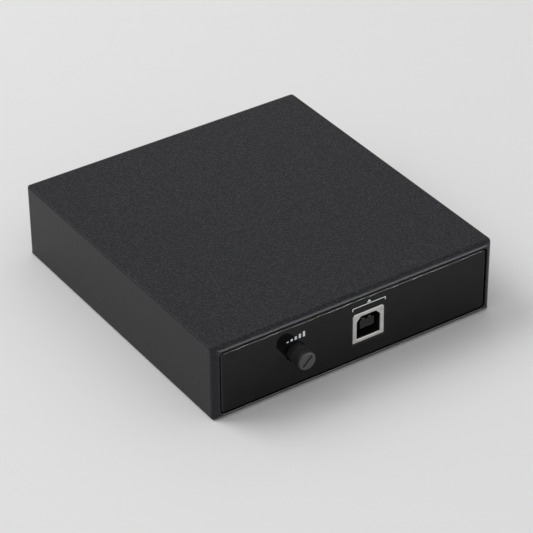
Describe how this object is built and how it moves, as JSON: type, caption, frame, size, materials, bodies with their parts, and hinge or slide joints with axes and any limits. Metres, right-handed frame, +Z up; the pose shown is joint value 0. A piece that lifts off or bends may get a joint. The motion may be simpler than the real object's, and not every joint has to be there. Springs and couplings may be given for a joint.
{
  "type": "phono preamp",
  "caption": "Low flat phono preamp: black folded metal case, gloss front with level knob and USB port, phono sockets, ground post and power jack behind.",
  "frame": {"origin": "On the surface that the feet stand on, at the middle of the whole object's box, from the knob's cap to the ends of the phono sockets.", "axes": "+X to the right of someone facing the front, +Y to the back, +Z up."},
  "size_m": [0.1054, 0.1278, 0.0267],
  "materials": {
    "black_powder_coat": "fine textured black powder coat",
    "black_painted_steel": "plain black paint",
    "gloss_black_acrylic": "polished gloss",
    "adhesive_film": "translucent film",
    "black_rubber": "matte rubber",
    "black_zinc_steel": "black zinc plated",
    "bright_steel": "zinc plated",
    "nickel_plate": "satin nickel plate",
    "tin_plate": "satin tin plate",
    "gold_plate": "gold plated contact",
    "brass": "plain brass",
    "black_plastic": "moulded, satin",
    "knob_plastic": "moulded, satin black",
    "white_plastic": "moulded",
    "red_plastic": "moulded",
    "green_board": "glass laminate with green solder mask",
    "brown_laminate": "paper laminate with carbon track",
    "red_film_box": "moulded capacitor box",
    "capacitor_sleeve": "shrunk sleeve",
    "ceramic": "ceramic chip"
  },
  "bodies": {
    "case": {"top_cover": "black_powder_coat", "base_tray": "black_painted_steel", "front_panel": "gloss_black_acrylic", "panel_film": "adhesive_film", "front_bracket": "black_painted_steel", "rear_panel": "black_powder_coat", "case_screws": "black_zinc_steel", "clinch_nuts": "bright_steel", "board_standoffs": "bright_steel", "board_screws": "bright_steel", "socket_screws": "black_zinc_steel", "level_pot_bush": "bright_steel", "level_pot_body": "black_plastic", "level_pot_track": "brown_laminate", "level_pot_terminals": "tin_plate", "usb_socket_shell": "nickel_plate", "usb_socket_insulator": "black_plastic", "usb_contacts": "gold_plate", "input_block": "black_plastic", "output_block": "black_plastic", "ground_post": "nickel_plate", "ground_seat_nut": "nickel_plate", "ground_lock_nut": "nickel_plate", "ground_tag": "tin_plate", "power_jack_body": "black_plastic", "power_jack_pin": "nickel_plate", "power_jack_spring": "tin_plate", "circuit_board": "green_board", "electrolytic_capacitors": "capacitor_sleeve", "film_capacitors": "red_film_box", "amplifier_chips": "black_plastic", "codec_chip": "black_plastic", "crystal_can": "tin_plate", "voltage_regulator": "black_plastic", "surface_resistors": "ceramic", "input_left_barrel": "nickel_plate", "input_left_insulator": "white_plastic", "input_left_contact": "gold_plate", "input_right_barrel": "nickel_plate", "input_right_insulator": "red_plastic", "input_right_contact": "gold_plate", "output_left_barrel": "nickel_plate", "output_left_insulator": "white_plastic", "output_left_contact": "gold_plate", "output_right_barrel": "nickel_plate", "output_right_insulator": "red_plastic", "output_right_contact": "gold_plate", "foot_front_left": "black_rubber", "foot_front_right": "black_rubber", "foot_rear_left": "black_rubber", "foot_rear_right": "black_rubber"},
    "level_control": {"level_knob": "knob_plastic", "level_shaft": "tin_plate", "level_wiper": "black_plastic"},
    "clamp_washer": {"ground_clamp_washer": "nickel_plate"},
    "thumb_nut": {"ground_thumb_nut": "nickel_plate"}
  },
  "joints": [
    {"name": "level_turn", "type": "hinge", "parent": "case", "child": "level_control", "pos_m": [-0.02285, -0.0577, 0.0143], "axis": [0, 1, 0], "range_deg": [-197, 103]},
    {"name": "ground_clamp_travel", "type": "slide", "parent": "case", "child": "clamp_washer", "axis": [0, 1, 0], "range_m": [0, 0.0021]},
    {"name": "thumb_nut_turn", "type": "hinge", "parent": "clamp_washer", "child": "thumb_nut", "pos_m": [0.00755, 0.0567, 0.0145], "axis": [0, 1, 0], "range_deg": [0, 1080]}
  ],
  "couplings": [
    {"joint": "thumb_nut_turn", "follows": "ground_clamp_travel", "rad_per_m": 8976}
  ]
}
